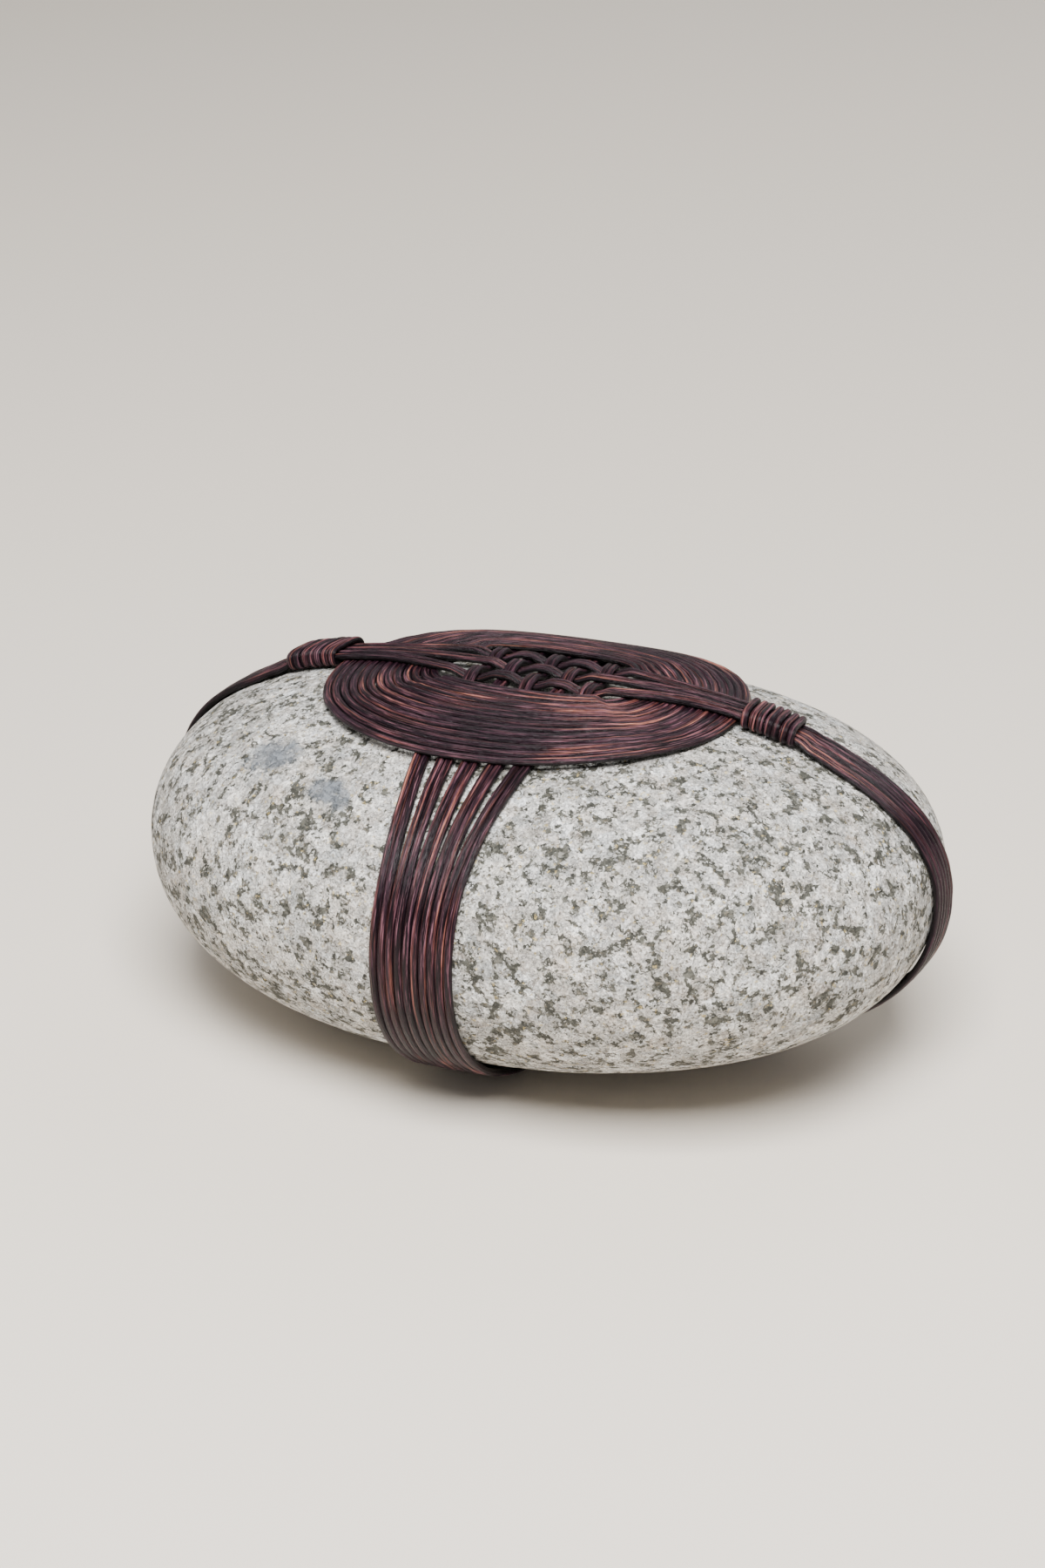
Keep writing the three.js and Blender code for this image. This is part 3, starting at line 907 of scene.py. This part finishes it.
def dyed_cane():
    f = Finish("dyed_cane")
    numbers = f.node("ShaderNodeUVMap", uv_map="cane").outputs["UV"]
    split = f.node("ShaderNodeSeparateXYZ", {"Vector": numbers})
    along = split.outputs["X"]
    angle = f.math("MULTIPLY", split.outputs["Y"], 2 * math.pi)
    crest = f.math("COSINE", angle)
    side = f.math("SINE", angle)

    def grain(along_scale, round_scale, detail=2.0, roughness=0.5):
        vector = f.node("ShaderNodeCombineXYZ", {
            "X": f.math("MULTIPLY", along, along_scale),
            "Y": f.math("MULTIPLY", side, round_scale),
            "Z": f.math("MULTIPLY", crest, round_scale)})
        return f.noise(vector.outputs[0], 1.0, detail, roughness)

    fibres = grain(105, 3.2, 3, 0.7)
    streaks = grain(34, 1.8, 4, 0.6)
    blotches = grain(55, 0.7, 4, 0.6)
    shades = grain(7, 0.15, 1)
    # The crest mask places both the real wear and the painted sheen
    worn = f.step(crest, 0.1, 0.95)
    # Whole areas of the binding have been handled more than others
    place = f.node("ShaderNodeTexCoord").outputs["Object"]
    handled = f.step(f.noise(place, 26, 2), 0.4, 0.6, 0.4, 1.4)
    amount = f.math("MULTIPLY", f.step(streaks, 0.47, 0.66), f.math("ADD", worn, 0.08))
    amount = f.math("MULTIPLY", amount, f.step(shades, 0.38, 0.6, 0.3, 1.0))
    amount = f.math("MULTIPLY", amount, handled, clamp=True)
    colour = f.blend(amount, f.ramp(blotches, *DYED), f.ramp(streaks, *RUBBED))
    # A lilac sheen is painted on the fibres of each strand's crest
    painted_sheen = f.math("MULTIPLY", f.step(fibres, 0.52, 0.66, 0, 0.4), worn)
    painted_sheen = f.math("MULTIPLY", painted_sheen, handled, clamp=True)
    colour = f.blend(painted_sheen, colour, PAINTED_SHEEN_COLOUR)
    # Painted shade: each strand is darker on its sides and underside, where it meets the others
    fibre_light, painted_side_shade = f.step(fibres, 0.36, 0.64, 0.3, 1.45), f.step(crest, -0.3, 0.6, 0.25, 1)
    colour = f.scaled(colour, f.math("MULTIPLY", fibre_light, painted_side_shade))
    dust = f.step(f.noise(place, 620, 2), 0.77, 0.8)
    colour = f.blend(f.math("MULTIPLY", dust, DUST_STRENGTH), colour, DUST)
    f.feed(f.shader.inputs["Base Color"], colour)
    f.feed(f.shader.inputs["Roughness"], f.step(fibres, 0.35, 0.65, 0.28, 0.5))
    f.shader.inputs["Specular IOR Level"].default_value = 0.22
    f.bump((fibres, 0.0005), (grain(160, 2.6, 3), 0.0002))
    return f.material


cane = dyed_cane()
for piece in cane_pieces:
    piece.data.materials.append(cane)
    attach(piece, "root")
print(len(cane_pieces), "pieces are", cane.name)

# %% [markdown]
# ## The table and the light
#
# A plain pale floor shows the form of the shadow, and large soft lamps give the cane its long
# gleams without a hard edge anywhere. The main light hangs above, in front and to the right, a
# weaker one fills the left side, one behind picks out the crown's far edge, and a pale surround
# keeps the shadows open.

# %% The floor
FLOOR_SIZE, PALE_PAPER = 6, (0.72, 0.66, 0.58, 1)


def add_floor():
    bpy.ops.object.select_all(action="DESELECT")
    bpy.ops.mesh.primitive_plane_add(size=FLOOR_SIZE)
    floor = bpy.context.object
    floor.name = "floor"
    f = Finish("pale_paper")
    f.shader.inputs["Base Color"].default_value = PALE_PAPER
    f.shader.inputs["Roughness"].default_value = 0.9
    f.shader.inputs["Specular IOR Level"].default_value = 0.2
    floor.data.materials.append(f.material)
    return floor


print("the floor is", round(add_floor().dimensions.x), "m wide")

# %% The lamps
# Each lamp's place, its size in metres, its power in watts and its colour
LAMPS = {
    "main_lamp": ((0.3, -0.65, 1.2), 0.7, 56, (1.0, 0.99, 0.98)),
    "side_lamp": ((-1.1, -0.5, 0.7), 0.9, 2, (1.0, 0.97, 0.93)),
    "back_lamp": ((0.1, 1.2, 1.0), 1.0, 7, (0.97, 0.98, 1.0)),
}
LAMPS_AIM = Vector((0, 0, 0.05))
SURROUND_COLOUR, SURROUND_STRENGTH = (1, 0.985, 0.965, 1), 0.34


def add_lamps():
    for name, (place, size, power, colour) in LAMPS.items():
        data = bpy.data.lights.new(name, "AREA")
        data.size = size
        data.energy = power
        data.color = colour
        lamp = bpy.data.objects.new(name, data)
        lamp.location = place
        away = Vector(place) - LAMPS_AIM
        lamp.rotation_euler = away.to_track_quat("Z", "Y").to_euler()
        bpy.context.scene.collection.objects.link(lamp)
    world = bpy.data.worlds.new("surround")
    world.use_nodes = True
    background = world.node_tree.nodes["Background"]
    background.inputs["Color"].default_value = SURROUND_COLOUR
    background.inputs["Strength"].default_value = SURROUND_STRENGTH
    bpy.context.scene.world = world


add_lamps()
print("lit by", len(LAMPS), "lamps")
